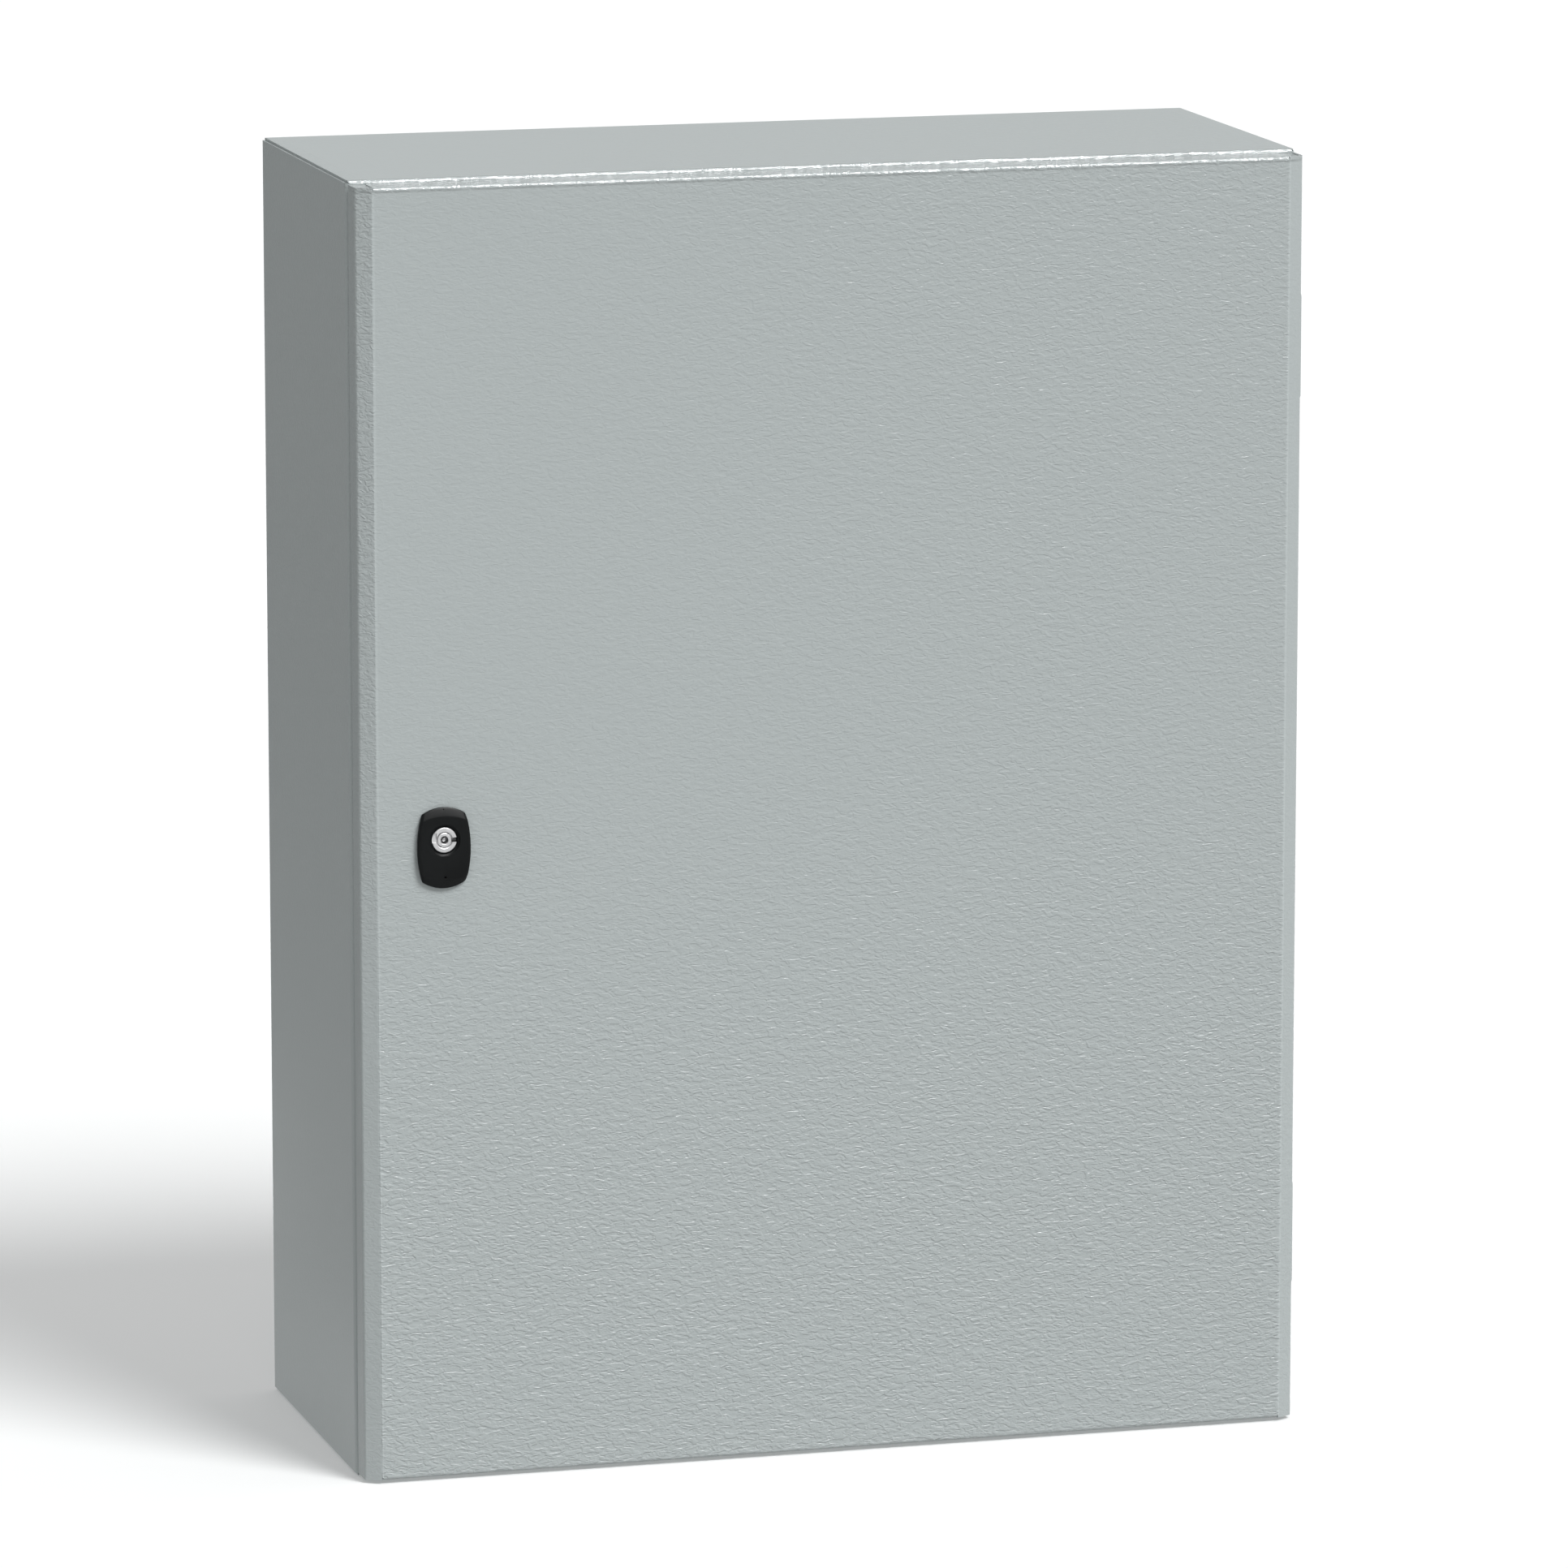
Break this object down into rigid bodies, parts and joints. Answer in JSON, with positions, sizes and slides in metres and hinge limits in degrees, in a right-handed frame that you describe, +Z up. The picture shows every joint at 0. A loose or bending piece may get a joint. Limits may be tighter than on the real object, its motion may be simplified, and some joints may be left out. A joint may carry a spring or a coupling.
{
  "type": "industrial switchboard cabinet",
  "caption": "Wall-mounting sheet-steel enclosure with a hinged, bevel-edged door, a quarter-turn lock with locking rods, a mounting plate and a bottom gland plate.",
  "frame": {"origin": "under the middle of the whole cabinet, on the plane it stands on", "axes": "+X towards the hinge side as seen from the front, +Y from the door to the wall, +Z up"},
  "size_m": [0.6, 0.2546, 0.8],
  "materials": {
    "body_paint": "textured light-grey powder coat",
    "door_paint": "textured light-grey powder coat",
    "black_rubber": "matte",
    "foam_seal": "matte foamed polyurethane",
    "galvanised_steel": "zinc-coated sheet",
    "zinc_fasteners": "bright zinc plate",
    "cast_zinc": "die-cast zinc, satin",
    "bright_pins": "ground steel",
    "escutcheon_black": "satin black",
    "insert_silver": "die-cast, satin chrome plate",
    "zinc_plate": "zinc-plated steel",
    "nylon_black": "moulded nylon"
  },
  "bodies": {
    "enclosure": {"side_panel_left": "body_paint", "side_panel_right": "body_paint", "top_panel": "body_paint", "bottom_panel": "body_paint", "back_panel": "body_paint", "gland_plate_gasket": "black_rubber", "gland_plate": "body_paint", "gland_plate_studs": "zinc_fasteners", "gland_plate_nuts": "zinc_fasteners", "mounting_plate": "galvanised_steel", "mounting_studs": "zinc_fasteners", "plate_spacers": "zinc_fasteners", "plate_washers": "zinc_fasteners", "plate_nuts": "zinc_fasteners", "body_earth_stud": "zinc_fasteners", "body_earth_washer": "zinc_fasteners", "body_earth_nut": "zinc_fasteners", "hinge_bracket_lower": "cast_zinc", "hinge_bracket_upper": "cast_zinc", "hinge_pin_lower": "bright_pins", "hinge_pin_upper": "bright_pins", "hinge_pin_rings": "zinc_fasteners", "hinge_bracket_screws": "zinc_fasteners"},
    "door": {"door_panel": "door_paint", "door_gasket": "foam_seal", "door_rail_left": "galvanised_steel", "door_rail_right": "galvanised_steel", "door_earth_stud": "zinc_fasteners", "door_earth_washer": "zinc_fasteners", "door_earth_nut": "zinc_fasteners", "hinge_leaf_lower": "cast_zinc", "hinge_leaf_upper": "cast_zinc", "hinge_leaf_studs": "zinc_fasteners", "hinge_leaf_nuts": "zinc_fasteners", "lock_escutcheon": "escutcheon_black", "lock_seal": "black_rubber", "lock_housing": "cast_zinc", "lock_nut": "zinc_fasteners", "rod_guide_upper_inner": "nylon_black", "rod_guide_upper_outer": "nylon_black", "rod_guide_lower_inner": "nylon_black", "rod_guide_lower_outer": "nylon_black", "rod_guide_screws": "zinc_fasteners"},
    "lock_barrel": {"lock_insert": "insert_silver", "lock_cam": "zinc_plate", "cam_pins": "bright_pins", "cam_screw": "zinc_fasteners"},
    "rod_up": {"upper_rod": "zinc_plate", "upper_rod_shoe": "nylon_black"},
    "rod_down": {"lower_rod": "zinc_plate", "lower_rod_shoe": "nylon_black"}
  },
  "joints": [
    {"name": "door_hinge", "type": "hinge", "parent": "enclosure", "child": "door", "pos_m": [0.292, -0.11274, 0.4], "axis": [0, 0, 1], "range_deg": [0, 120]},
    {"name": "lock_turn", "type": "hinge", "parent": "door", "child": "lock_barrel", "pos_m": [-0.248, -0.12275, 0.4], "axis": [0, 1, 0], "range_deg": [0, 90]},
    {"name": "upper_rod_slide", "type": "slide", "parent": "door", "child": "rod_up", "axis": [0, 0, 1], "range_m": [0, 0.02192]},
    {"name": "lower_rod_slide", "type": "slide", "parent": "door", "child": "rod_down", "axis": [0, 0, -1], "range_m": [0, 0.02192]}
  ],
  "couplings": [
    {"joint": "lock_turn", "follows": "upper_rod_slide", "rad_per_m": 71.659},
    {"joint": "lower_rod_slide", "follows": "upper_rod_slide", "ratio": 1}
  ]
}
